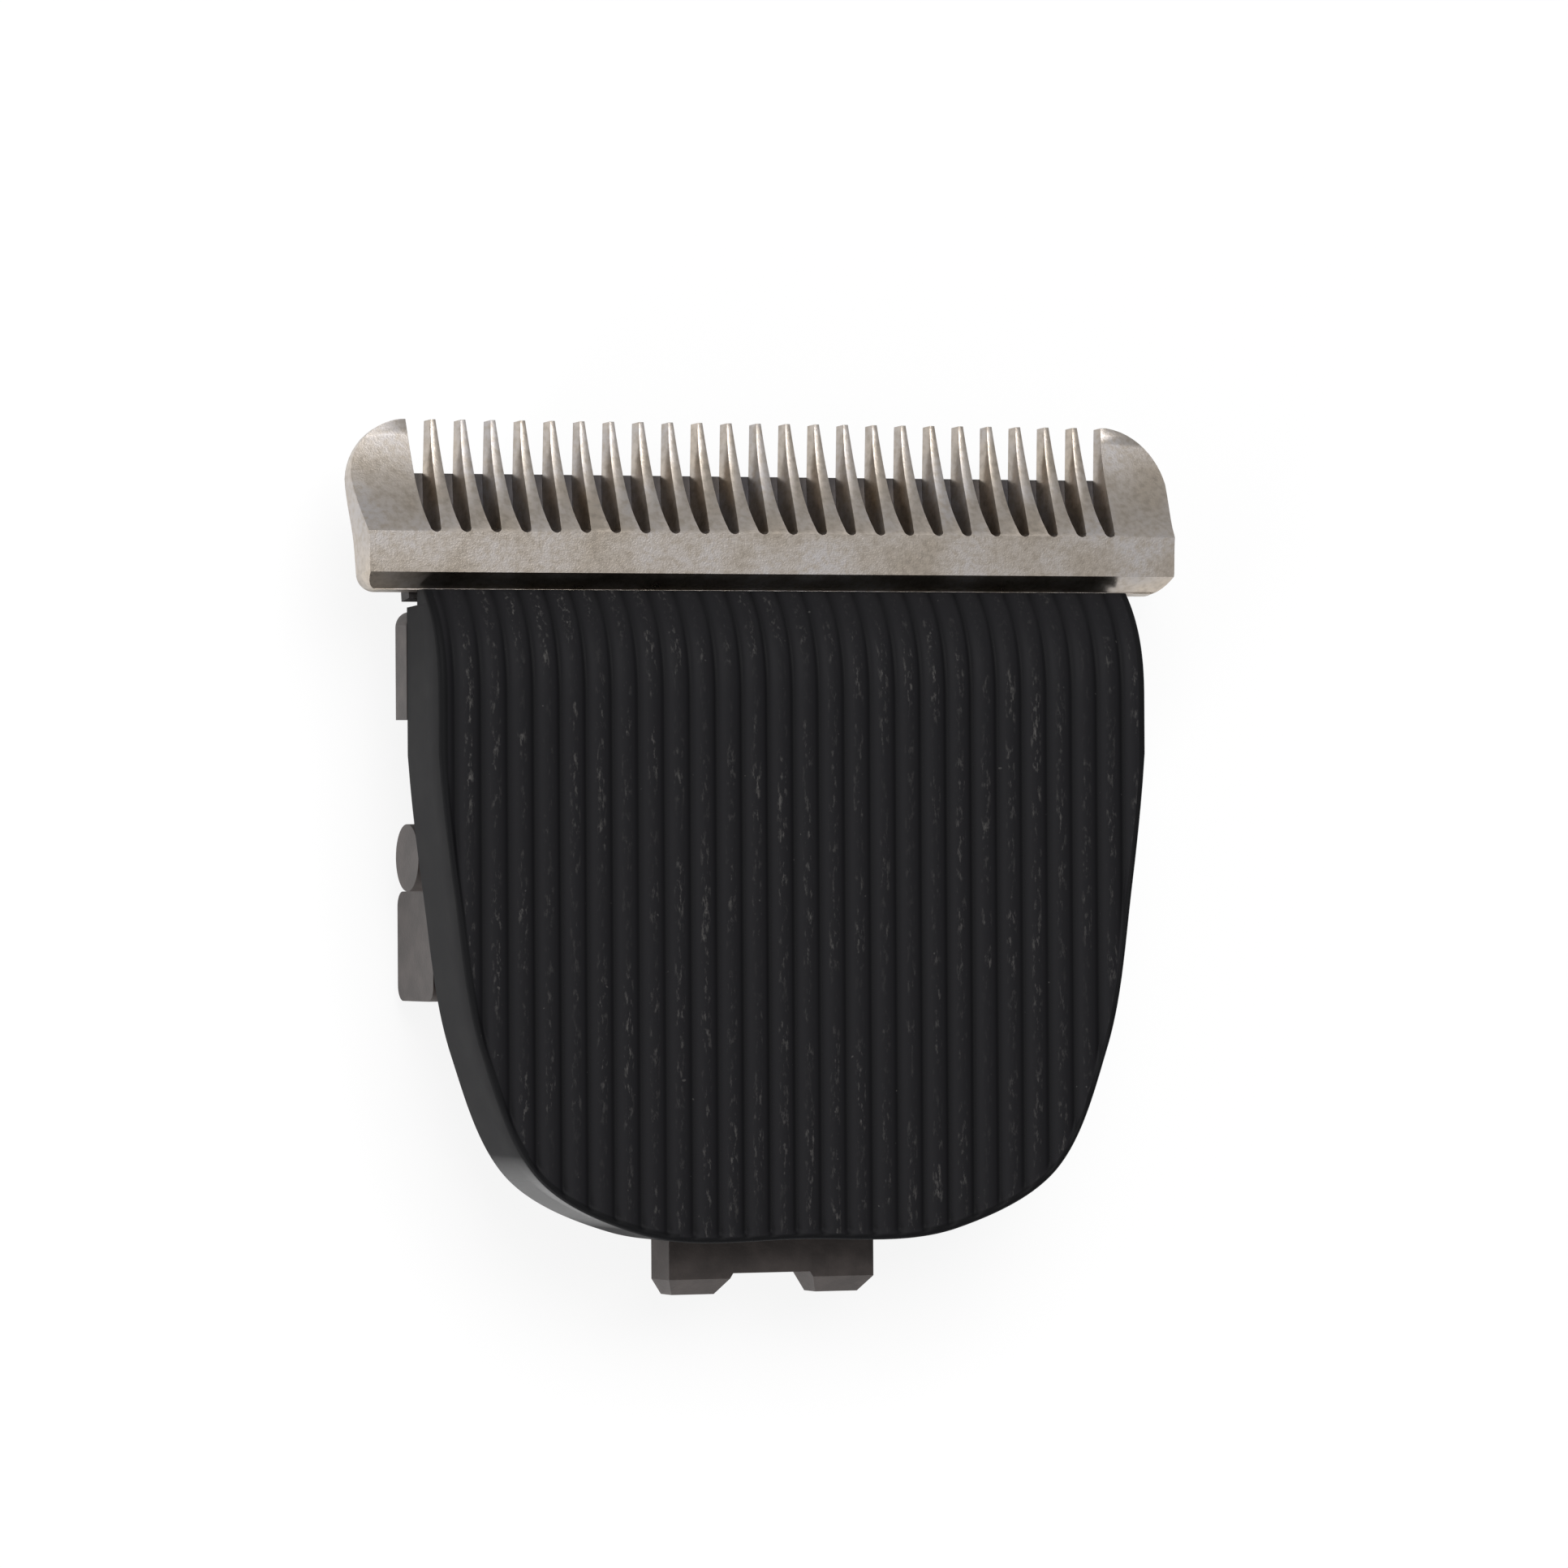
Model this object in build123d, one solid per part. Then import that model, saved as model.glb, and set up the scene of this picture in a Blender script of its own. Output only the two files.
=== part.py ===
"""Detachable T-blade cutting head of a cordless hair trimmer.

Millimetres, +Z up.  The head lies on its back: X runs along the blade, Y points from the hinge
tongue towards the teeth, and +Z is the outside of the ribbed cover.  In the working frame Y = 0 is
the cover's lower edge and Z = 0 is the rear rim; every piece is moved at the end so that the
origin is the middle of the whole box, on the rear rim.
"""
from build123d import *
from math import cos, radians, sin
import os

os.makedirs("parts", exist_ok=True)

# ---- driving dimensions ---------------------------------------------------------------
BLADE_HALF = 19.65         # half of the comb's overall width, at its bulge
WAIST = 0.3                # the plain band is this much narrower on each side
PITCH = 1.41               # tooth pitch of comb and cutter
TEETH = 23                 # comb teeth between the two corner blocks
STROKE = 1.1               # cutter travel each way
COMB_FACE_Z = 9.0          # front of the comb's plain band above the rear rim
COMB_TIP = 6.85            # comb teeth beyond the blade's datum
CUTTER_TIP = 4.5           # cutter teeth beyond the datum
TILT = 8.0                 # blade plane against the cover, degrees
DATUM_RISE = 0.75          # front edge of the plain band above the cover's upper edge
BLADE_REAR = 1.9           # cutting plane behind the band's front, at the datum

COVER_TOP = 28.9           # upper edge of the cover
COVER_FACE = 2.2           # cover's flat face in front of the comb's band
COVER_DROP = 2.0           # how far the cover falls back at its upper edge
COVER_FALL = 4.7           # over this height
COVER_DEPTH = 4.4          # depth of the cover's side wall
COVER_WALL = 1.2           # cover thickness

STEM_HALF = 14.3           # comb stem under the cover
STEM_END = -8.6
HEEL_ROOM = 0.35           # cover cut back below the cutter's heel
FLANGE = 0.7               # comb thickness below its step
FLANGE_GAP = 0.05          # between the flange and the cover's cut-back corners
CUTTER_THICK = 1.0
CUTTER_HEEL = -1.1         # lower edge of the cutter's wide part
CUTTER_STEM_HALF = 6.8
CUTTER_STEM_END = -6.6
OIL_GAP = 0.02             # running gap between comb and cutter
SHANK_GAP = 0.02           # screws and rivets in their holes

SCREW_X = 10.9
SCREW_V = -6.0
SCREW_R = 0.9
SCREW_HEAD_R = 1.6
SCREW_HEAD = 0.7
SCREW_LENGTH = 2.6

DRIVER_HALF = 5.4
DRIVER_LOW = -6.2
DRIVER_HIGH = -1.6
DRIVER_DEPTH = 3.1
WING_REACH = 2.6           # wings beyond the driver's core
DRIVE_SLOT = 3.0           # width of the slot for the eccentric pin
WING = 0.8                 # thickness of the driver's side wings
RIVET_X = 3.95
RIVET_R = 0.7
RIVET_HEAD_R = 1.0
RIVET_HEAD = 0.35

SKIRT_WALL = 1.3
SKIRT_INSET = 2.6          # skirt behind the cover's outline
SPIGOT_GAP = 0.2           # spigot inside the cover's wall
RING_END = 2.3             # skirt and spigot stop this far below the cover's upper edge
SHOULDER_IN = 12.4         # shoulders behind the comb's ends
SHOULDER_OUT = 16.9
SHOULDER_LOW = 5.7         # below the cover's upper edge
SHOULDER_HIGH = 0.9
SHOULDER_THICK = 1.45
WEB = 1.5                  # web across the frame's lower half
WEB_TOP = 15.0
TONGUE_HALF = 4.93         # hinge tongue
TONGUE_THICK = 2.2
TONGUE_REACH = 2.5
TONGUE_FACE = 1.45         # front of the tongue behind the comb's band
NOTCH_HALF = 1.85
NOTCH_DEPTH = 0.95
CHEEK_HALF = 15.3
LOBE_HALF = 16.0
SPRING_THICK = 0.25
SPRING_INSET = 0.2         # spring arms inside the wings' ends
ARM_GAP = 0.1              # between the arms and the driver's core at full stroke
GUIDE_GAP = 0.05

# half outline of the cover from the upper edge to the middle of the lower edge
OUTLINE = [(16.9, COVER_TOP), (17.0, COVER_TOP - 4.9), (16.2, 15.5), (14.95, 8.4), (12.2, 2.75), (7.6, 0.45), (0.0, 0.1)]

# ---- derived values -------------------------------------------------------------------
BAND_HALF = BLADE_HALF - WAIST
DATUM_Y = COVER_TOP + DATUM_RISE
bend_y = COVER_TOP - COVER_FALL
driver_core = DRIVER_HALF - WING_REACH
arm_inner = driver_core + STROKE + ARM_GAP
arm_outer = DRIVER_HALF - SPRING_INSET
rear_edge_z = COMB_FACE_Z + COVER_FACE - COVER_DEPTH
cover_face_z = COMB_FACE_Z + COVER_FACE
under_face_z = cover_face_z - COVER_WALL
datum_z = COMB_FACE_Z - BLADE_REAR
tongue_face_z = COMB_FACE_Z - TONGUE_FACE
tip_y = DATUM_Y + COMB_TIP * cos(radians(TILT))
ORIGIN_Y = (tip_y - TONGUE_REACH) / 2
BLADE_PLACE = Location((0, DATUM_Y, datum_z), (-TILT, 0, 0))


def block(x0, x1, y0, y1, z0, z1):
    """Box between two corners."""
    return Pos((x0 + x1) / 2, (y0 + y1) / 2, (z0 + z1) / 2) * Box(x1 - x0, y1 - y0, z1 - z0)


def pair(make):
    """A shape made for +X and for -X, joined."""
    return make(1) + make(-1)


def side_block(side, x0, x1, *rest):
    """Box between two distances from the mid-plane, on one side of it."""
    low, high = sorted((side * x0, side * x1))
    return block(low, high, *rest)


def prism_x(points, half):
    """Polygon in the YZ plane carried along X, both ways."""
    face = make_face(Polyline(*[(0, y, z) for y, z in points], close=True))
    return extrude(face, amount=half, dir=(1, 0, 0), both=True)


def shield(inset, top, z0, z1):
    """The cover's outline moved inwards by inset, cut off at top, from z0 to z1."""
    half = OUTLINE
    moved = []
    for i, (x, y) in enumerate(half):
        xa, ya = half[max(i - 1, 0)]
        xb, yb = half[min(i + 1, len(half) - 1)]
        run = ((xb - xa) ** 2 + (yb - ya) ** 2) ** 0.5
        nx, ny = (yb - ya) / run, -(xb - xa) / run
        if x == 0:
            nx, ny = 0.0, 1.0
        moved.append((x + inset * nx, y + inset * ny))
    moved[0] = (moved[0][0], COVER_TOP)
    left = [(-x, y) for x, y in moved]
    right = [(x, y) for x, y in reversed(moved[:-1])]
    corners = [right[-1]]
    if top > COVER_TOP:
        corners += [(right[-1][0], top), (left[0][0], top)]
    rim = Polyline(*corners, left[0]) if len(corners) > 1 else Line(corners[0], left[0])
    face = make_face([Spline(*(left + right))] + list(rim.edges()))
    return Pos(0, 0, z0) * extrude(face, amount=z1 - z0)


def cover_profile(drop, face_z, low_z, top):
    """Side view of the cover as a prism: flat face that falls back in an arc near its upper edge."""
    bend = (bend_y, face_z)
    end = (COVER_TOP, face_z - drop)
    middle = ((bend[0] + end[0]) / 2 + 0.25, (bend[1] + end[1]) / 2 + 0.45)
    arc = ThreePointArc((0, *bend), (0, *middle), (0, *end))
    corners = [(0, *end)]
    if top > COVER_TOP:
        corners.append((0, top, end[1]))
    corners += [(0, top, low_z), (0, -2, low_z), (0, -2, face_z), (0, *bend)]
    face = make_face([arc] + list(Polyline(*corners).edges()))
    return extrude(face, amount=BLADE_HALF, dir=(1, 0, 0), both=True)


def front_cover():
    """Shield-shaped shell, notched over the hinge tongue."""
    outer = shield(0, COVER_TOP, rear_edge_z, cover_face_z) & cover_profile(COVER_DROP, cover_face_z, 0, COVER_TOP)
    hollow = shield(COVER_WALL, COVER_TOP + 2, rear_edge_z - 1, under_face_z)
    hollow = hollow & cover_profile(COVER_DROP, under_face_z, 0, COVER_TOP + 2)
    notch = block(-TONGUE_HALF - 0.1, TONGUE_HALF + 0.1, -1, 3, rear_edge_z - 1, tongue_face_z)
    flange_room = block(-BLADE_HALF, BLADE_HALF, CUTTER_HEEL - HEEL_ROOM, 3, -4, FLANGE + FLANGE_GAP)
    return outer - hollow - notch - BLADE_PLACE * flange_room


def blade_outline():
    """Plan of the comb's head: rounded upper corners, slight waist above the step."""
    low = -0.85
    right = [(BAND_HALF - 0.75, low), (BAND_HALF, low + 0.8), (BAND_HALF + 0.05, 1.6)]
    upper = [(BLADE_HALF, 4.2), (BLADE_HALF - 0.85, 6.0), (BLADE_HALF - 2.6, COMB_TIP)]
    corner = ThreePointArc((right[0][0], low), (BAND_HALF - 0.22, low + 0.24), right[1])
    waist = Spline(right[1], right[2], upper[0], tangents=[(0.02, 1), (0, 1)])
    shoulder = ThreePointArc(upper[0], upper[1], upper[2])
    half = [corner, waist, shoulder]
    other = [edge.mirror(Plane.YZ) for edge in half]
    top = Line(upper[2], (-upper[2][0], COMB_TIP))
    bottom = Line((-right[0][0], low), (right[0][0], low))
    return make_face(half + other + [top, bottom])


def comb_section():
    """Side view of the comb: flange, sloping step, plain band and hollow-ground teeth."""
    band_low, band_high = (-0.26, 1.88), (1.52, 2.13)
    grind = ThreePointArc((0, *band_high), (0, 4.3, 0.85), (0, COMB_TIP + 0.1, 0.44))
    rest = Polyline((0, COMB_TIP + 0.1, 0.44), (0, COMB_TIP + 0.1, 0), (0, STEM_END, 0), (0, STEM_END, FLANGE),
                    (0, -0.8, FLANGE), (0, *band_low), (0, *band_high))
    face = make_face([grind] + list(rest.edges()))
    return extrude(face, amount=BLADE_HALF + 1, dir=(1, 0, 0), both=True)


def tooth_gap(x):
    """Gap between two comb teeth: narrow at the cutting plane, flaring forwards and to the tips."""
    def section(v, rear, front, height=2.4):
        points = [(x - rear, v, -0.1), (x + rear, v, -0.1), (x + front, v, height), (x - front, v, height)]
        return make_face(Polyline(*points, close=True))
    root, middle, end = 1.75, 4.4, COMB_TIP + 0.4
    lower = loft([section(root, 0.16, 0.27), section(middle, 0.2, 0.93)], ruled=True)
    upper = loft([section(middle, 0.2, 0.93), section(end, 0.42, 1.4)], ruled=True)
    round_end = Pos(x, root, 1.15) * Cone(0.16, 0.27, 2.5)
    return lower + upper + round_end


def comb_blade():
    """T-shaped steel comb with its stem, in the blade's own frame."""
    head = extrude(blade_outline(), amount=3)
    stem = block(-STEM_HALF, STEM_HALF, STEM_END, 0, 0, 3)
    comb = (head + stem) & comb_section()
    gaps = [tooth_gap((i - TEETH / 2) * PITCH) for i in range(TEETH + 1)]
    for gap in gaps:
        comb = comb - gap
    holes = pair(lambda s: Pos(s * SCREW_X, SCREW_V, 0) * Cylinder(SCREW_R + 0.15, 4))
    return comb - holes


def cutter_blade():
    """Moving cutter: toothed bar with a short stem that carries the driver."""
    top, bottom = -OIL_GAP, -OIL_GAP - CUTTER_THICK
    half = (TEETH + 1) / 2 * PITCH
    bar = block(-half, half, CUTTER_HEEL, 1.0, bottom, top)
    stem = block(-CUTTER_STEM_HALF, CUTTER_STEM_HALF, CUTTER_STEM_END, CUTTER_HEEL, bottom, top)
    body = bar + stem
    for i in range(TEETH + 1):
        x = (i - TEETH / 2) * PITCH
        plan = make_face(Polyline((x - 0.5, 0.9), (x + 0.5, 0.9), (x + 0.3, CUTTER_TIP), (x - 0.3, CUTTER_TIP), close=True))
        tooth = Pos(0, 0, bottom) * extrude(plan, amount=CUTTER_THICK)
        body = body + tooth
    bevel = prism_x([(1.6, bottom - 0.1), (CUTTER_TIP + 0.1, bottom - 0.1), (CUTTER_TIP + 0.1, top - 0.3)], BLADE_HALF)
    rivets = pair(lambda s: Pos(s * RIVET_X, (DRIVER_LOW + DRIVER_HIGH) / 2, 0) * Cylinder(RIVET_R + SHANK_GAP, 4))
    return body - bevel - rivets


def cutter_driver():
    """Nylon follower behind the cutter: a slotted block with two wings that the spring bears on."""
    top = -OIL_GAP - CUTTER_THICK
    low, high = DRIVER_LOW, DRIVER_HIGH
    core = block(-driver_core, driver_core, low, high, top - DRIVER_DEPTH, top)
    wings = block(-DRIVER_HALF, DRIVER_HALF, low, high, top - WING, top)
    slot = block(-DRIVE_SLOT / 2, DRIVE_SLOT / 2, low - 1, high - 1.0, top - DRIVER_DEPTH - 1, top - 0.5)
    rivets = pair(lambda s: Pos(s * RIVET_X, (low + high) / 2, top) * Cylinder(RIVET_R + SHANK_GAP, 4))
    return core + wings - slot - rivets


def driver_rivets():
    """Two rivets that hold the driver to the cutter, heads on the driver's wings."""
    length = CUTTER_THICK + WING
    seat = -OIL_GAP - length

    def rivet(side):
        place = Pos(side * RIVET_X, (DRIVER_LOW + DRIVER_HIGH) / 2, 0)
        shank = place * Pos(0, 0, seat + length / 2) * Cylinder(RIVET_R, length)
        head = place * Pos(0, 0, seat - RIVET_HEAD / 2) * Cylinder(RIVET_HEAD_R, RIVET_HEAD)
        return shank + head
    return Compound(children=[rivet(1), rivet(-1)])


def comb_screws():
    """Two low-head screws from the front through the comb's stem into the frame."""
    def screw(side):
        head = Pos(0, 0, FLANGE + SCREW_HEAD / 2) * Cylinder(SCREW_HEAD_R, SCREW_HEAD)
        shank = Pos(0, 0, FLANGE - SCREW_LENGTH / 2) * Cylinder(SCREW_R, SCREW_LENGTH)
        slot = Pos(0, 0, FLANGE + SCREW_HEAD) * Box(2 * SCREW_HEAD_R, 0.4, 0.5)
        return Pos(side * SCREW_X, SCREW_V, 0) * (head + shank - slot)
    return Compound(children=[screw(1), screw(-1)])


def guide_bar(side):
    """Strip on the comb's rear that the cutter's heel runs along."""
    inner = CUTTER_STEM_HALF + STROKE + 0.3
    high = CUTTER_HEEL - GUIDE_GAP
    return side_block(side, inner, STEM_HALF - 1.5, high - 1.2, high, -0.9, 0)


def frame_pads():
    """Seats behind the comb's stem, in the blade's own frame, with holes for the screws."""
    def pad(side):
        seat = side_block(side, SCREW_X - 1.7, STEM_HALF, STEM_END, CUTTER_HEEL - 1.5, -3.2, 0)
        return seat - Pos(side * SCREW_X, SCREW_V, 0) * Cylinder(SCREW_R + SHANK_GAP, 2 * (SCREW_LENGTH - FLANGE))
    return pair(pad)


def tongue():
    """Hinge tongue with two feet, the front corner of each foot bevelled."""
    low = -TONGUE_REACH
    plan = [(-TONGUE_HALF, 1.8), (-TONGUE_HALF, low + 0.7), (-TONGUE_HALF + 0.45, low), (-NOTCH_HALF - 0.6, low),
            (-NOTCH_HALF, low + NOTCH_DEPTH)]
    points = plan + [(-x, y) for x, y in reversed(plan)]
    base = tongue_face_z - TONGUE_THICK
    body = Pos(0, 0, base) * extrude(make_face(Polyline(*points, close=True)), amount=TONGUE_THICK)
    bevel = prism_x([(low - 0.1, tongue_face_z + 0.1), (low + 0.8, tongue_face_z + 0.1), (low - 0.1, base + 1.2)],
                    BLADE_HALF)
    return body - bevel


def cheek(side):
    """Snap cheek on the skirt: round upper lobe that runs into a deeper lower lobe."""
    inner = 12.6
    lower = side_block(side, inner, CHEEK_HALF, 10.7, 15.6, 0.9, 5.6)
    lower = fillet(lower.edges().filter_by(Axis.X), 0.7)
    upper = Pos(side * (inner + LOBE_HALF) / 2, 17.1, 4.2) * Rot(0, 90, 0) * Cylinder(1.5, LOBE_HALF - inner)
    ramp = make_face(Polyline((0, 13.2, 5.2), (0, 17.1, 5.7), (0, 17.1, 2.7), (0, 14.2, 1.6), close=True))
    ramp = Pos(side * inner, 0, 0) * extrude(ramp, amount=CHEEK_HALF - inner, dir=(side, 0, 0))
    return lower + upper + ramp


def rear_frame():
    """Carrier: skirt, spigot under the cover, web, stem seats, shoulders, snap cheeks and tongue."""
    side_top = COVER_TOP - RING_END
    inner = SKIRT_INSET + SKIRT_WALL
    well = shield(inner, COVER_TOP + 2, -1, under_face_z + 1)
    skirt = shield(SKIRT_INSET, COVER_TOP, 0, rear_edge_z) - well
    spigot = shield(COVER_WALL + SPIGOT_GAP, COVER_TOP, rear_edge_z, under_face_z) - well
    ring = (skirt + spigot) & block(-BLADE_HALF, BLADE_HALF, -1, side_top, -1, under_face_z)
    room = BLADE_PLACE * block(-STEM_HALF - 0.2, STEM_HALF + 0.2, STEM_END - 0.2, 6, 0, 6)
    falling = block(-BLADE_HALF, BLADE_HALF, bend_y - 4, COVER_TOP + 1, rear_edge_z, under_face_z + 1)
    web = (shield(inner - 0.2, COVER_TOP, rear_edge_z - WEB, rear_edge_z)
           & block(-BLADE_HALF, BLADE_HALF, -1, WEB_TOP, 0, COMB_FACE_Z))
    shoulders = pair(lambda s: side_block(s, SHOULDER_IN, SHOULDER_OUT, COVER_TOP - SHOULDER_LOW,
                                          COVER_TOP - SHOULDER_HIGH, rear_edge_z - SHOULDER_THICK, rear_edge_z))
    shoulders = fillet(shoulders.edges().filter_by(Axis.Z).sort_by(Axis.Y)[-4:], 0.7)
    pads = BLADE_PLACE * frame_pads()
    frame = (ring - room - falling) + web + (shoulders - room) + pads + tongue() + cheek(1) + cheek(-1)
    frame = frame + block(-TONGUE_HALF, TONGUE_HALF, 0.4, 3.5, tongue_face_z - TONGUE_THICK, rear_edge_z)
    guide_room = BLADE_PLACE * pair(guide_bar)
    screw_hole = Pos(0, WEB_TOP - 3, rear_edge_z) * Cylinder(SCREW_R + SHANK_GAP, 4)
    return frame - guide_room - screw_hole


def pressure_spring():
    """Leaf spring: a plate on the web whose two arms press the driver's wings to the comb."""
    wing_v = DRIVER_LOW + 0.9
    wing_w = -OIL_GAP - CUTTER_THICK - WING
    end_y = DATUM_Y + wing_v * cos(radians(TILT)) + wing_w * sin(radians(TILT))
    end_z = datum_z - wing_v * sin(radians(TILT)) + wing_w * cos(radians(TILT)) - 0.03
    low = rear_edge_z
    line = [(WEB_TOP - 5, low), (WEB_TOP + 1.0, low), (end_y - 1.6, end_z - 0.55), (end_y, end_z)]
    lift = [(y, z + SPRING_THICK) for y, z in line]
    top_end = (end_y, end_z)
    profile = line[:3] + [(end_y, end_z - SPRING_THICK), top_end] + [lift[2]] + [lift[1], lift[0]]
    sheet = prism_x(profile, arm_outer)
    gap = block(-arm_inner, arm_inner, WEB_TOP + 0.5, end_y + 1, 0, 12)
    hole = Pos(0, WEB_TOP - 3, low) * Cylinder(SCREW_R + 0.1, 4)
    return sheet - gap - hole


def spring_screw():
    """Screw that holds the leaf spring to the web."""
    seat = rear_edge_z + SPRING_THICK
    head = Pos(0, 0, seat + SCREW_HEAD / 2) * Cylinder(SCREW_HEAD_R, SCREW_HEAD)
    shank = Pos(0, 0, seat - (WEB + SPRING_THICK) / 2) * Cylinder(SCREW_R, WEB + SPRING_THICK)
    slot = Pos(0, 0, seat + SCREW_HEAD) * Box(2 * SCREW_HEAD_R, 0.4, 0.5)
    return Pos(0, WEB_TOP - 3, 0) * (head + shank - slot)


MODEL = {
    "front_cover": front_cover(),
    "rear_frame": rear_frame(),
    "comb_blade": BLADE_PLACE * comb_blade(),
    "comb_screws": BLADE_PLACE * comb_screws(),
    "cutter_guides": BLADE_PLACE * Compound(children=[guide_bar(1), guide_bar(-1)]),
    "cutter_blade": BLADE_PLACE * cutter_blade(),
    "cutter_driver": BLADE_PLACE * cutter_driver(),
    "driver_rivets": BLADE_PLACE * driver_rivets(),
    "pressure_spring": pressure_spring(),
    "spring_screw": spring_screw(),
}

for name, shape in MODEL.items():
    export_step(Pos(0, -ORIGIN_Y, 0) * shape, f"parts/{name}.step")
    print(name, round(shape.volume, 3))
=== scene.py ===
# %% [markdown]
# # A clip-on T-blade cutting head
# The head of a hair trimmer: a steel comb, a cutter behind it, a ribbed cover and a rear frame. The
# imported model already holds every piece at its real size, so this lesson only adds finish: soft edges,
# the fine ribs of the cover, and materials with the grain, wear and dust that such a head has, with some
# painted shade and painted highlight.

# %% Load the frame
import math
import bmesh
import bpy
import numpy as np
from mathutils import Matrix, Vector


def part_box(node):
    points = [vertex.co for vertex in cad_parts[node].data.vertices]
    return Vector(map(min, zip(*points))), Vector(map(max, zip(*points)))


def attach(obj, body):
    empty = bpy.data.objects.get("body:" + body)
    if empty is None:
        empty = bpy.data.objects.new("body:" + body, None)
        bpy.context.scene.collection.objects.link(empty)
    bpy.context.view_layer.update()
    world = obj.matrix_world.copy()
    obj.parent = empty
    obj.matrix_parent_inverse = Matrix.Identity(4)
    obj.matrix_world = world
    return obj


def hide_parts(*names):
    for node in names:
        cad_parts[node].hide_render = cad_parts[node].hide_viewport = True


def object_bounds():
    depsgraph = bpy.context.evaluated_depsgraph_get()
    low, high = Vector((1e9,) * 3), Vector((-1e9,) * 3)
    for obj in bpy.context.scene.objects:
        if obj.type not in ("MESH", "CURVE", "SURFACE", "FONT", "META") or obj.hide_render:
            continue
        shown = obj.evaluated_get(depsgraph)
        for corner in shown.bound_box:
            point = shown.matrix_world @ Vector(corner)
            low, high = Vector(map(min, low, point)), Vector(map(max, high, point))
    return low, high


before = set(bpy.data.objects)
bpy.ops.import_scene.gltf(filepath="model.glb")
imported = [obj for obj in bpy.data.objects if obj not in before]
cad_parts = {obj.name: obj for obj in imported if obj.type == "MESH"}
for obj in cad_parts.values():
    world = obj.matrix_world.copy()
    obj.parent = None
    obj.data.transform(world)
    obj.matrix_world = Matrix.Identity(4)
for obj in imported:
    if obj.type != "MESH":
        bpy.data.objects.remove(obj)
cad_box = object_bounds()
MM = 0.001

# %% [markdown]
# ## Named sizes
# Places come from the frame: the cover's own box gives its edges. Only the small things that the frame
# doesn't hold are named here, such as the pitch of the ribs.

# %% Sizes and places
cover_low, cover_high = (np.array(corner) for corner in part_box("front_cover"))
COVER_TOP = cover_high[1]            # upper edge of the cover
COVER_FACE = cover_high[2]           # its flat face
COVER_REAR = cover_low[2]            # rear edge of its side wall
COVER_BOTTOM = cover_low[1]
WALL = 1.2 * MM
DROP = 2.0 * MM                      # the face falls back at its upper edge
BEND = 4.7 * MM                     # over this height
ROUND = 0.17 * MM                    # rounding of the crease
RIB_PITCH = 1.229 * MM
RIB_DEPTH = 0.26 * MM
RIB_SHIFT = -0.19 * MM               # a groove runs this far off the middle
RIB_ARC = 0.93                       # how much of a circle each ridge takes; near 1 the grooves are sharp
RIB_RUNOUT = 0.22 * MM               # the ribs fade out over this margin
FACE_HALF = 16.72 * MM               # half width of the ribbed face
FACE_SINK = 0.02 * MM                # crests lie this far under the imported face
EDGE_LIP = 0.06 * MM                 # small break at the wall's rear edge
CREASE = ((0.35, 0.06), (0.75, 0.32), (1.0, 0.8), (1.0, 2.0))   # steps out and down, in shares of ROUND
STEEL_EDGE = 0.07 * MM               # broken edges of the ground steel
MOULDED_EDGE = 0.12 * MM             # and of the mouldings
TONGUE_HALF = 5.03 * MM
TONGUE_FACE = 7.55 * MM
LIP_START = COVER_TOP - 0.75 * MM     # above this the side wall is cut back round the comb
LIP_REAR = 8.15 * MM
GLOSS_X, GLOSS_Y = 11.0 * MM, 1.9 * MM   # the lower corners are rubbed glossy
GLOSS_SIZE = 2.1 * MM
print("cover", (cover_high - cover_low) / MM, "mm")

# %% [markdown]
# ## Helpers
# A surface is worked out as whole arrays and handed to Blender at once. `grid_faces` numbers the
# quads of a grid, and `strip_faces` those between two rows of points.

# %% Mesh helpers
def grid_faces(rows, columns, first=0):
    """Quads of a rows by columns grid of points numbered row by row."""
    k, j = np.meshgrid(np.arange(rows - 1), np.arange(columns - 1), indexing="ij")
    a = first + k * columns + j
    return np.stack([a, a + 1, a + columns + 1, a + columns], -1).reshape(-1, 4)


def strip_faces(lower, upper):
    """Quads between two equally long rows of point numbers."""
    return np.stack([lower[:-1], lower[1:], upper[1:], upper[:-1]], -1)


def new_piece(name, points, faces):
    """Mesh object at the origin with its faces turned outwards."""
    mesh = bpy.data.meshes.new(name)
    mesh.from_pydata(points.tolist(), [], faces)
    shape = bmesh.new()
    shape.from_mesh(mesh)
    bmesh.ops.recalc_face_normals(shape, faces=shape.faces)
    shape.to_mesh(mesh)
    shape.free()
    mesh.validate()
    piece = bpy.data.objects.new(name, mesh)
    bpy.context.scene.collection.objects.link(piece)
    return piece


def softened(node, name, width, angle=32):
    """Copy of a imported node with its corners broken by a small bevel; it stands for the node."""
    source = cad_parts[node]
    mesh = source.data.copy()
    mesh.name = name
    shape = bmesh.new()
    shape.from_mesh(mesh)
    bmesh.ops.remove_doubles(shape, verts=shape.verts, dist=1e-6)
    bmesh.ops.dissolve_limit(shape, angle_limit=math.radians(1.0), verts=shape.verts, edges=shape.edges)
    shape.to_mesh(mesh)
    shape.free()
    piece = bpy.data.objects.new(name, mesh)
    bpy.context.scene.collection.objects.link(piece)
    bevel = piece.modifiers.new("edges", "BEVEL")
    bevel.width = width
    bevel.segments = 2
    bevel.limit_method = "ANGLE"
    bevel.angle_limit = math.radians(angle)
    mesh.shade_smooth()
    normals = piece.modifiers.new("flat faces", "WEIGHTED_NORMAL")
    normals.keep_sharp = True
    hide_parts(node)
    return piece


# %% [markdown]
# ## Materials
# Every finish is a small node tree on Object coordinates. `Finish` keeps the wiring short: each method
# adds one node and returns its output. Sizes of a pattern are given in millimetres.

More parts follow.
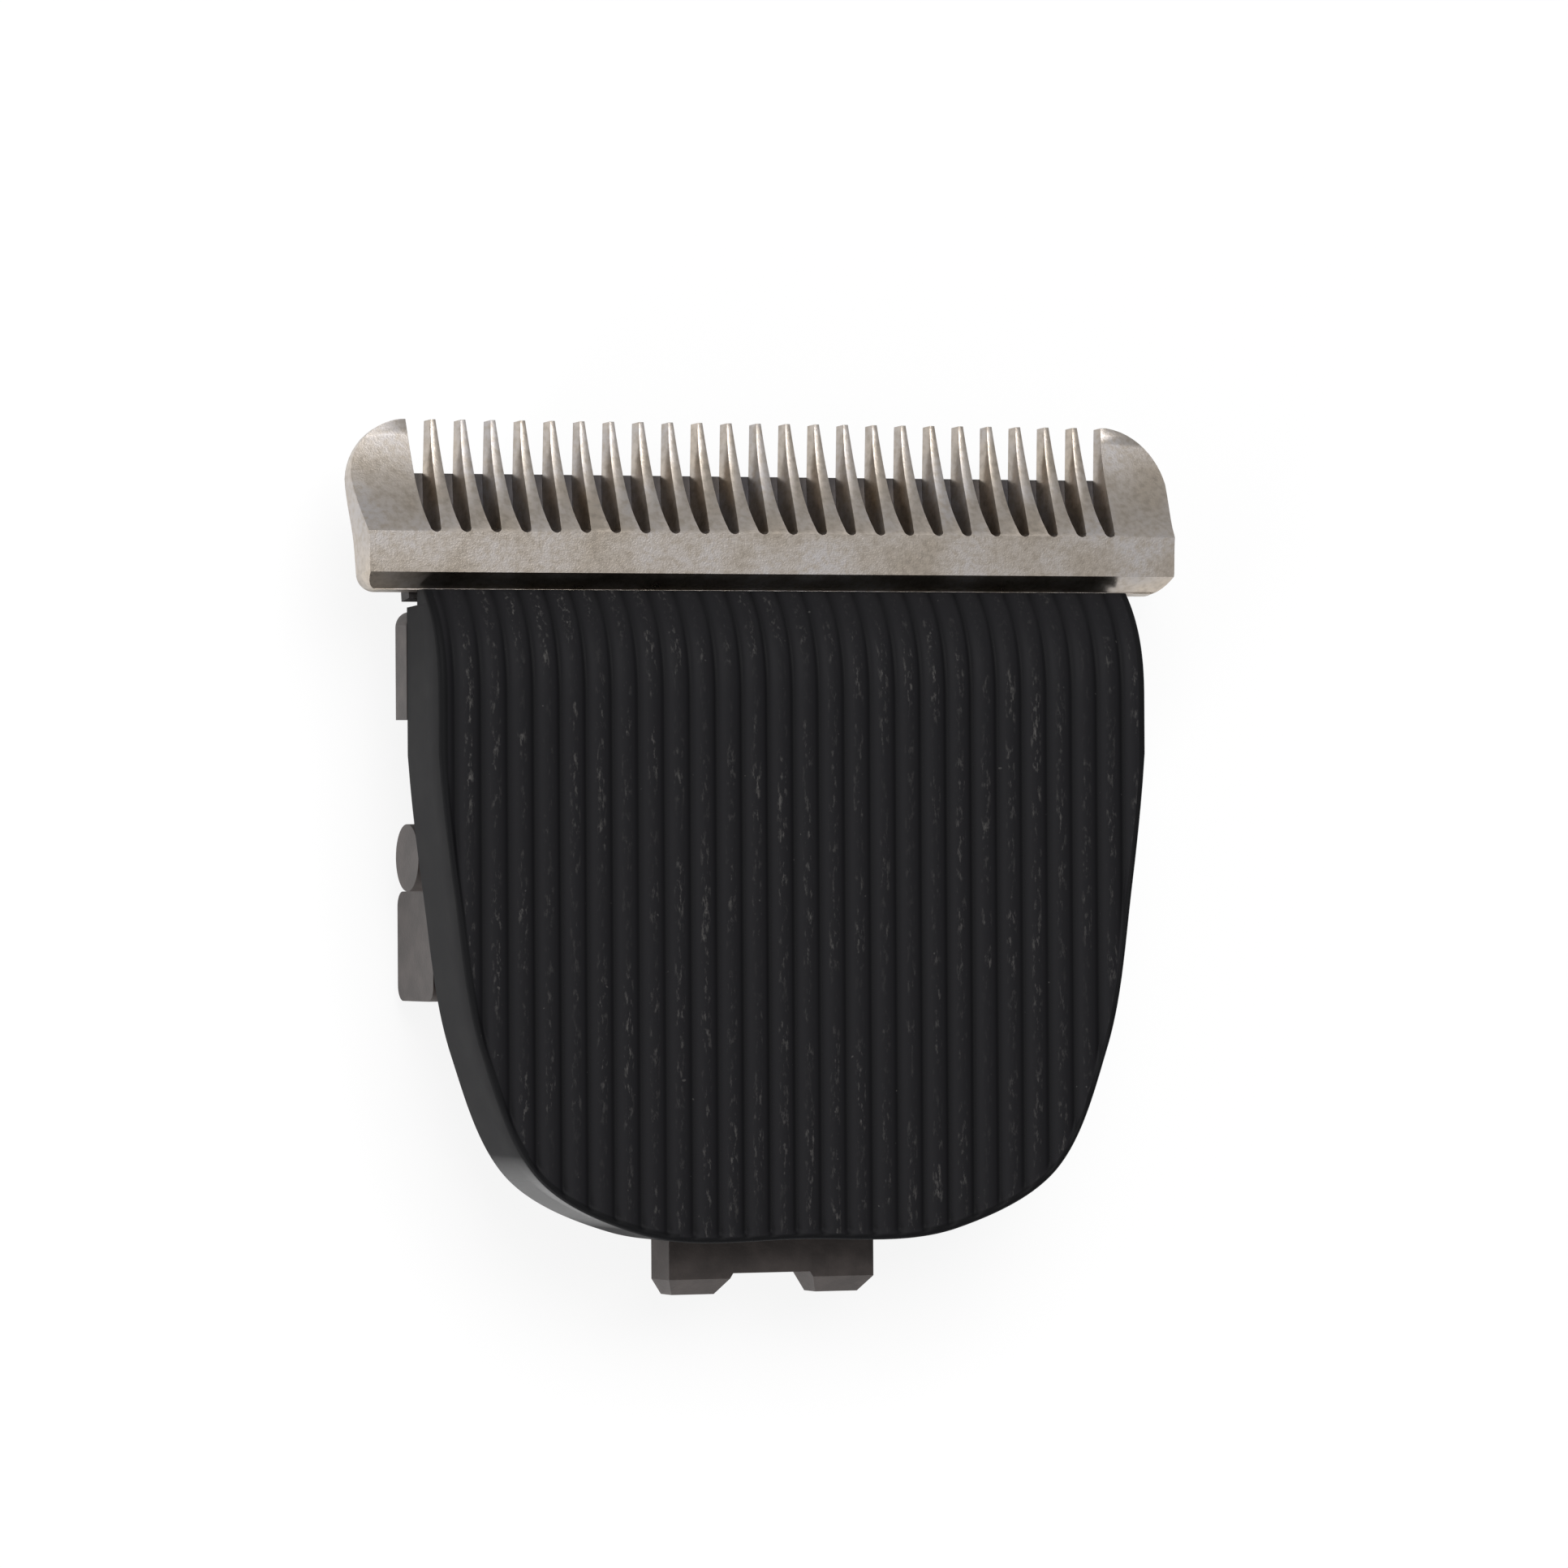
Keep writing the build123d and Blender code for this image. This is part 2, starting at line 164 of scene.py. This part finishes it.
# %% Material helper
class Finish:
    """One procedural material around a Principled shader."""

    def __init__(self, name, color, roughness, metallic=0.0, specular=0.5):
        self.material = bpy.data.materials.new(name)
        self.material.use_nodes = True
        self.tree = self.material.node_tree
        self.shader = self.tree.nodes["Principled BSDF"]
        self.shader.inputs["Base Color"].default_value = (*color, 1)
        self.shader.inputs["Roughness"].default_value = roughness
        self.shader.inputs["Metallic"].default_value = metallic
        self.shader.inputs["Specular IOR Level"].default_value = specular
        self.place = self.tree.nodes.new("ShaderNodeTexCoord").outputs["Object"]

    def noise(self, size_mm, detail=3.0, stretch=(1, 1, 1), rough=0.5):
        """Cloudy noise with features of about size_mm, drawn out where stretch is small."""
        mapping = self.tree.nodes.new("ShaderNodeMapping")
        mapping.inputs["Scale"].default_value = stretch
        self.tree.links.new(self.place, mapping.inputs["Vector"])
        node = self.tree.nodes.new("ShaderNodeTexNoise")
        node.inputs["Scale"].default_value = 1 / (size_mm * MM)
        node.inputs["Detail"].default_value = detail
        node.inputs["Roughness"].default_value = rough
        self.tree.links.new(mapping.outputs["Vector"], node.inputs["Vector"])
        return node.outputs["Fac"]

    def remap(self, value, low, high, to_low, to_high):
        """Straight-line change of range, clamped."""
        node = self.tree.nodes.new("ShaderNodeMapRange")
        for key, number in zip(("From Min", "From Max", "To Min", "To Max"), (low, high, to_low, to_high)):
            node.inputs[key].default_value = number
        self.tree.links.new(value, node.inputs["Value"])
        return node.outputs["Result"]

    def times(self, a, b, operation="MULTIPLY"):
        """Two values combined."""
        node = self.tree.nodes.new("ShaderNodeMath")
        node.operation = operation
        self.tree.links.new(a, node.inputs[0])
        if isinstance(b, float):
            node.inputs[1].default_value = b
        else:
            self.tree.links.new(b, node.inputs[1])
        return node.outputs[0]

    def attribute(self, name):
        """A number stored on the mesh's points."""
        node = self.tree.nodes.new("ShaderNodeAttribute")
        node.attribute_name = name
        return node.outputs["Fac"]

    def mix(self, factor, first, second):
        """Blend of two colours; each is an RGB triple or another output."""
        node = self.tree.nodes.new("ShaderNodeMix")
        node.data_type = "RGBA"
        self.tree.links.new(factor, node.inputs["Factor"])
        for socket, color in ((node.inputs[6], first), (node.inputs[7], second)):
            if isinstance(color, tuple):
                socket.default_value = (*color, 1)
            else:
                self.tree.links.new(color, socket)
        return node.outputs[2]

    def set(self, socket, value):
        """Wires a value into the shader."""
        self.tree.links.new(value, self.shader.inputs[socket])

    def bump(self, height, distance_mm, strength=1.0):
        """Surface relief from a value, distance_mm high."""
        node = self.tree.nodes.new("ShaderNodeBump")
        node.inputs["Strength"].default_value = strength
        node.inputs["Distance"].default_value = distance_mm * MM
        self.tree.links.new(height, node.inputs["Height"])
        self.set("Normal", node.outputs["Normal"])


# %% [markdown]
# Ground steel is satin, never even: it has a warm grey tone with cloudy stains, darker speckle and
# a fine grain. Its roughness follows the clouds, so the shine breaks up as it does on a used blade.
# The cutter's tone is painted near black, as painted shade for the cutter lying in shadow behind the comb.

# %% Steel finishes
def ground_steel(name, tone, roughness, stain=1.0):
    """Satin steel with clouds, specks and a fine grain."""
    finish = Finish(name, tone, roughness, metallic=1.0)
    clouds = finish.noise(2.6, 4.0)
    specks = finish.noise(0.28, 2.0)
    dark = tuple(0.72 * c for c in tone)
    blue = (tone[0] * 0.86, tone[1] * 0.93, tone[2] * 1.08)
    base = finish.mix(finish.remap(clouds, 0.35, 0.7, 0, 0.8 * stain), tone, blue)
    base = finish.mix(finish.remap(specks, 0.42, 0.68, 0, 0.55 * stain), base, dark)
    finish.set("Base Color", base)
    grain = finish.noise(0.09, 2.0)
    finish.set("Roughness", finish.remap(clouds, 0.3, 0.7, roughness - 0.06, roughness + 0.1))
    finish.bump(grain, 0.012, 0.5)
    return finish.material


comb_steel = ground_steel("comb_steel", (0.52, 0.455, 0.385), 0.33, 1.35)
# Painted shade: the cutter's tone is near black because it lies in shadow behind the comb.
cutter_steel = ground_steel("cutter_steel", (0.05, 0.045, 0.043), 0.45)
bright_steel = ground_steel("fastener_steel", (0.55, 0.54, 0.52), 0.3, 0.4)
spring_steel = ground_steel("spring_steel", (0.34, 0.33, 0.36), 0.3, 0.5)

# %% [markdown]
# Moulded plastic is close to black. What makes it look real is what lies on it: pale broken lines on the
# crests of the ribs, part dust and part painted highlight, painted shade darkening the grooves, a few pale
# specks, and a smooth side wall that is rubbed glossy at its lower corners.

# %% Plastic finishes
def cover_plastic():
    """Black moulding with painted shade in the rib grooves and pale crest lines that are part dust, part
    painted highlight; the attribute crest is 1 on a rib's crest, 0 in its groove, and below 0 on the rim.
    """
    finish = Finish("cover_plastic", (0.011, 0.0105, 0.0115), 0.6, specular=0.10)
    crest = finish.attribute("crest")
    # Pale broken lines along the rib crests: part dust and part painted highlight.
    top = finish.remap(crest, 0.86, 1.0, 0, 1)
    broken = finish.remap(finish.noise(0.17, 3.0, (1, 0.3, 1), 0.7), 0.54, 0.70, 0, 0.55)
    patches = finish.remap(finish.noise(3.2, 2.0), 0.42, 0.64, 0.15, 1)
    dust_and_crest_highlight = finish.times(finish.times(top, broken), patches)
    specks = finish.remap(finish.noise(0.30, 1.0), 0.79, 0.82, 0, 0.3)
    dust_highlight_and_specks = finish.times(dust_and_crest_highlight, specks, "MAXIMUM")
    # Painted shade: the grooves between the ribs are coloured darker than the crests.
    painted_groove_shade = finish.remap(crest, 0.0, 0.8, 0, 1)
    body = finish.mix(painted_groove_shade, (0.003, 0.003, 0.0036), (0.0080, 0.0077, 0.0090))
    finish.set("Base Color", finish.mix(dust_highlight_and_specks, body, (0.11, 0.105, 0.10)))
    finish.bump(finish.noise(0.09, 2.0), 0.007, 0.3)
    return finish.material


def wall_plastic():
    """The cover's smooth side: the same black, dark from most sides, with faint rubbed clouds."""
    finish = Finish("cover_wall", (0.010, 0.0097, 0.0105), 0.34, specular=0.13)
    rubbed = finish.remap(finish.noise(1.6, 4.0), 0.45, 0.75, 0, 1)
    finish.set("Base Color", finish.mix(rubbed, (0.0068, 0.0066, 0.0074), (0.011, 0.0107, 0.011)))
    gloss = finish.remap(finish.attribute("crest"), -1.15, -1.9, 0, 1)
    finish.set("Roughness", finish.remap(gloss, 0, 1, 0.42, 0.16))
    finish.set("Specular IOR Level", finish.remap(gloss, 0, 1, 0.02, 0.9))
    finish.bump(finish.noise(0.12, 2.0), 0.003, 0.3)
    return finish.material


def moulded(name, tone, roughness, specular=0.35):
    """Dull moulding with a faint mottle and a fine texture."""
    finish = Finish(name, tone, roughness, specular=specular)
    pale = tuple(min(1.0, 1.7 * c + 0.004) for c in tone)
    finish.set("Base Color", finish.mix(finish.remap(finish.noise(1.1, 4.0), 0.4, 0.75, 0, 1), tone, pale))
    finish.bump(finish.noise(0.14, 3.0), 0.014, 0.5)
    return finish.material


cover_black = cover_plastic()
wall_black = wall_plastic()
frame_black = moulded("frame_plastic", (0.030, 0.0235, 0.0215), 0.42)
guide_black = moulded("guide_plastic", (0.02, 0.02, 0.02), 0.4)
nylon = moulded("driver_nylon", (0.55, 0.53, 0.47), 0.45)
print("materials", len(bpy.data.materials))

# %% [markdown]
# ## The ribbed cover
# The real cover is one moulding: a shield with fine ribs, a crisp crease round it and a smooth wall.
# A solid with 27 cut grooves would be heavy and sharp. A surface worked out as height over a grid is
# lighter and softer: columns run along the ribs, so a few points across each rib are enough.

# %% Outline of the shield
outline = np.array([(16.9, 28.9), (17.0, 24.0), (16.2, 15.5), (14.95, 8.4), (12.2, 2.75), (7.6, 0.45),
                    (0.0, 0.1)])
outline_x = outline[::-1, 0] * MM
outline_y = COVER_BOTTOM + (outline[::-1, 1] - outline[-1, 1]) * MM


def smooth_outline(samples=600):
    """Half outline through its points: cubic pieces whose slopes follow the chord to each side."""
    x = np.concatenate([-outline_x[:0:-1], outline_x])
    y = np.concatenate([outline_y[:0:-1], outline_y])
    step = np.hypot(np.diff(x), np.diff(y))
    t = np.concatenate([[0], np.cumsum(step)])
    slope = lambda v: np.gradient(v, t)
    u = np.linspace(0, t[-1], samples)
    i = np.clip(np.searchsorted(t, u, side="right") - 1, 0, len(t) - 2)
    h = t[i + 1] - t[i]
    s = (u - t[i]) / h
    def curve(v):
        m = slope(v)
        return ((2*s**3 - 3*s**2 + 1) * v[i] + (s**3 - 2*s**2 + s) * h * m[i]
                + (3*s**2 - 2*s**3) * v[i + 1] + (s**3 - s**2) * h * m[i + 1])
    return curve(x), curve(y)


def inset_outline(inset):
    """The outline moved inwards along its own normals."""
    x, y = smooth_outline()
    dx, dy = np.gradient(x), np.gradient(y)
    run = np.hypot(dx, dy)
    return x - inset * dy / run, y + inset * dx / run


print("outline points", len(smooth_outline()[0]))

# %% Height of the face
def lower_edge(x):
    """Height at which a column at x starts, on the outline less its rounding."""
    px, py = inset_outline(ROUND)
    right = px >= 0
    order = np.argsort(px[right])
    return np.interp(np.abs(x), px[right][order], py[right][order])


def fall(y):
    """The face falls back near the upper edge: a square of the height over the bend plus a steeper power."""
    s = np.clip((y - (COVER_TOP - BEND)) / BEND, 0, 1)
    return -DROP * (0.55 * s ** 2 + 0.45 * s ** 3.2)


def rib(x):
    """Round ridges with narrow grooves: an arc of a circle that repeats, 0 at a crest."""
    u = (x - RIB_SHIFT) / RIB_PITCH
    u = u - np.floor(u) - 0.5
    arc = np.sqrt(1 - RIB_ARC * (2 * u) ** 2)
    return (arc - 1) / (1 - math.sqrt(1 - RIB_ARC))


def ribbed_cover():
    """Outer face, rounded crease, wall, rear rim and plain inner face as one closed shell."""
    columns, rows = 331, 96
    x = np.linspace(-FACE_HALF, FACE_HALF, columns)
    s = np.linspace(0, 1, rows)
    s = (0.35 * s + 0.65 * (1 - np.cos(np.pi * s)) / 2)[:, None]
    low = lower_edge(x)[None, :]
    xs = np.repeat(x[None, :], rows, 0)
    ys = low + s * (COVER_TOP - low)
    slope = np.hypot(1, np.gradient(low[0], x))[None, :]
    margin = np.minimum((ys - low) / slope, FACE_HALF - np.abs(xs))
    fade = np.clip(margin / RIB_RUNOUT, 0, 1)
    ridge = rib(xs)
    zs = COVER_FACE - FACE_SINK + fall(ys) + ridge * RIB_DEPTH * fade
    face = np.stack([xs, ys, zs], -1).reshape(-1, 3)
    shrink = 1 - (WALL + ROUND) / FACE_HALF
    inner = np.stack([xs * shrink, COVER_TOP - (COVER_TOP - ys) * shrink, COVER_FACE - WALL + fall(ys)], -1)
    inner = inner.reshape(-1, 3)
    number = np.arange(rows * columns).reshape(rows, columns)
    path = np.concatenate([number[:0:-1, 0], number[0, :], number[1:, -1]])
    edge = face[path]
    along = np.gradient(edge[:, :2], axis=0)
    along /= np.hypot(along[:, 0], along[:, 1])[:, None]
    out = np.stack([along[:, 1], -along[:, 0]], -1)
    over_tongue = (np.abs(edge[:, 0]) < TONGUE_HALF) & (edge[:, 1] < COVER_BOTTOM + 2 * MM)
    rear = np.where(over_tongue, TONGUE_FACE, COVER_REAR)
    rear = np.where(edge[:, 1] > LIP_START, LIP_REAR, rear)
    loops = []
    for reach, down in CREASE:
        loops.append(np.column_stack([edge[:, :2] + out * reach * ROUND, edge[:, 2] - down * ROUND]))
    loops.append(np.column_stack([edge[:, :2] + out * ROUND, rear + EDGE_LIP]))
    loops.append(np.column_stack([edge[:, :2] + out * (ROUND - EDGE_LIP), rear]))
    inside = inner[path]
    loops.append(np.column_stack([inside[:, :2], rear]))
    points = np.concatenate([face, inner] + loops)
    total, length = rows * columns, len(path)
    rings = [path] + [2 * total + k * length + np.arange(length) for k in range(len(loops))] + [path + total]
    quads = [grid_faces(rows, columns), grid_faces(rows, columns, total)[:, ::-1]]
    quads += [strip_faces(a, b) for a, b in zip(rings[:-1], rings[1:])]
    quads.append(strip_faces(number[-1], number[-1] + total))
    faces = np.concatenate(quads).tolist()
    faces.append([int(ring[0]) for ring in rings])
    faces.append([int(ring[-1]) for ring in rings])
    piece = new_piece("ribbed_cover", points, faces)
    crest = np.full(len(points), -1.0)
    crest[:total] = np.where(fade > 0.5, 1 + ridge, -0.4).reshape(-1)
    corner = np.hypot(np.abs(edge[:, 0]) - GLOSS_X, edge[:, 1] - COVER_BOTTOM - GLOSS_Y) / GLOSS_SIZE
    crest[2 * total:] = -1 - np.tile(np.exp(-corner ** 2), len(loops))
    piece.data.attributes.new("crest", "FLOAT", "POINT").data.foreach_set("value", crest)
    piece.data.shade_smooth()
    piece.data.materials.append(cover_black)
    piece.data.materials.append(wall_black)
    counts = [(rows - 1) * (columns - 1)] * 2 + [length - 1] * (len(rings) - 1)
    first_wall = sum(counts[:5])
    slots = np.zeros(len(faces), np.int32)
    slots[first_wall:sum(counts)] = 1
    piece.data.polygons.foreach_set("material_index", slots)
    return piece


cover = ribbed_cover()
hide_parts("front_cover")
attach(cover, "head")
print("cover triangles", 2 * len(cover.data.polygons))

# %% [markdown]
# ## Steel and frame with broken edges
# No ground or moulded part has a perfectly sharp corner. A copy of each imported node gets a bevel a
# few hundredths of a millimetre wide, which is what catches the light along the comb's outline.

# %% Softened copies
def finish_piece(node, name, width, material, body):
    """Softened copy of a node with its finish, riding on its body."""
    piece = softened(node, name, width)
    piece.data.materials.clear()
    piece.data.materials.append(material)
    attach(piece, body)
    return piece


comb = finish_piece("comb_blade", "steel_comb", STEEL_EDGE, comb_steel, "head")
shell = finish_piece("rear_frame", "moulded_frame", MOULDED_EDGE, frame_black, "head")
driver = finish_piece("cutter_driver", "nylon_driver", MOULDED_EDGE, nylon, "cutter")

node_finish = {
    "cutter_blade": cutter_steel,
    "comb_screws": bright_steel,
    "driver_rivets": bright_steel,
    "spring_screw": bright_steel,
    "pressure_spring": spring_steel,
    "cutter_guides": guide_black,
}
for node, material in node_finish.items():
    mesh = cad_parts[node].data
    if not mesh.materials:
        mesh.materials.append(material)
    for index in range(len(mesh.materials)):
        mesh.materials[index] = material
print("softened", comb.name, shell.name, driver.name)

# %% [markdown]
# ## Floor, light and camera
# A pale floor under the head, a broad soft lamp above, a small low one from the lower left and a wider
# one from the left. The cover's glossy lower corners mirror the floor. The camera is far off with a
# long lens.

# %% Floor
def pale_floor():
    """Large plane under the head, white to the camera and still taking the shadow."""
    size = 1.5
    corners = np.array([(-size, -size, 0), (size, -size, 0), (size, size, 0), (-size, size, 0)])
    floor = new_piece("floor", corners + (0, 0, cad_box[0][2]), [[0, 1, 2, 3]])
    material = bpy.data.materials.new("pale_floor")
    material.use_nodes = True
    tree = material.node_tree
    out = tree.nodes["Material Output"]
    shader = tree.nodes["Principled BSDF"]
    shader.inputs["Base Color"].default_value = (0.9, 0.9, 0.9, 1)
    shader.inputs["Roughness"].default_value = 0.9
    glow = tree.nodes.new("ShaderNodeEmission")
    path = tree.nodes.new("ShaderNodeLightPath")
    share = tree.nodes.new("ShaderNodeMath")
    share.operation = "MULTIPLY"
    share.inputs[1].default_value = 0.85
    mix = tree.nodes.new("ShaderNodeMixShader")
    tree.links.new(path.outputs["Is Camera Ray"], share.inputs[0])
    tree.links.new(share.outputs[0], mix.inputs[0])
    tree.links.new(shader.outputs[0], mix.inputs[1])
    tree.links.new(glow.outputs[0], mix.inputs[2])
    tree.links.new(mix.outputs[0], out.inputs["Surface"])
    floor.data.materials.append(material)
    return floor


pale_floor()

# %% World and lamps
world = bpy.data.worlds.new("studio")
bpy.context.scene.world = world
world.use_nodes = True
sky = world.node_tree.nodes["Background"]
sky.inputs["Color"].default_value = (1, 1, 1, 1)
light_path = world.node_tree.nodes.new("ShaderNodeLightPath")
strength = world.node_tree.nodes.new("ShaderNodeMapRange")
strength.inputs["To Min"].default_value = 0.42
strength.inputs["To Max"].default_value = 1.0
world.node_tree.links.new(light_path.outputs["Is Camera Ray"], strength.inputs["Value"])
world.node_tree.links.new(strength.outputs["Result"], sky.inputs["Strength"])


def lamp(name, place, size, power):
    """Square area lamp that looks at the head."""
    data = bpy.data.lights.new(name, "AREA")
    data.size = size
    data.energy = power
    light = bpy.data.objects.new(name, data)
    aim = Vector((0, 0, 0.006)) - Vector(place)
    light.matrix_world = Matrix.Translation(place) @ aim.to_track_quat("-Z", "Y").to_matrix().to_4x4()
    bpy.context.scene.collection.objects.link(light)
    return light


lamp("top_lamp", (-0.10, 0.35, 0.75), 0.5, 5.5)
lamp("wall_lamp", (-0.30, -0.50, 0.12), 0.10, 2.2)
lamp("side_lamp", (-0.60, 0.10, 0.25), 0.3, 0.9)

# %% Camera
DISTANCE = 0.400
AZIMUTH = math.radians(22)
TILT_UP = math.radians(0.5)
ROLL = -0.0062
target = np.array([0.000152, 0.003325, 0.009])
back = np.array([-math.sin(AZIMUTH) * math.cos(TILT_UP), -math.sin(TILT_UP),
                 math.cos(AZIMUTH) * math.cos(TILT_UP)])
right = np.cross(-back, (0, 1, 0))
right /= np.linalg.norm(right)
up = np.cross(right, -back)
turned_right = math.cos(ROLL) * right + math.sin(ROLL) * up
turned_up = math.cos(ROLL) * up - math.sin(ROLL) * right
lens = bpy.data.cameras.new("camera")
lens.sensor_width = 36
lens.lens = 205.77
camera = bpy.data.objects.new("camera", lens)
pose = Matrix.Identity(4)
for column, axis in enumerate((turned_right, turned_up, back, target + DISTANCE * back)):
    for row in range(3):
        pose[row][column] = axis[row]
camera.matrix_world = pose
bpy.context.scene.collection.objects.link(camera)
bpy.context.scene.camera = camera
bpy.context.scene.view_settings.view_transform = "Standard"
print("camera at", np.round(target + DISTANCE * back, 4))
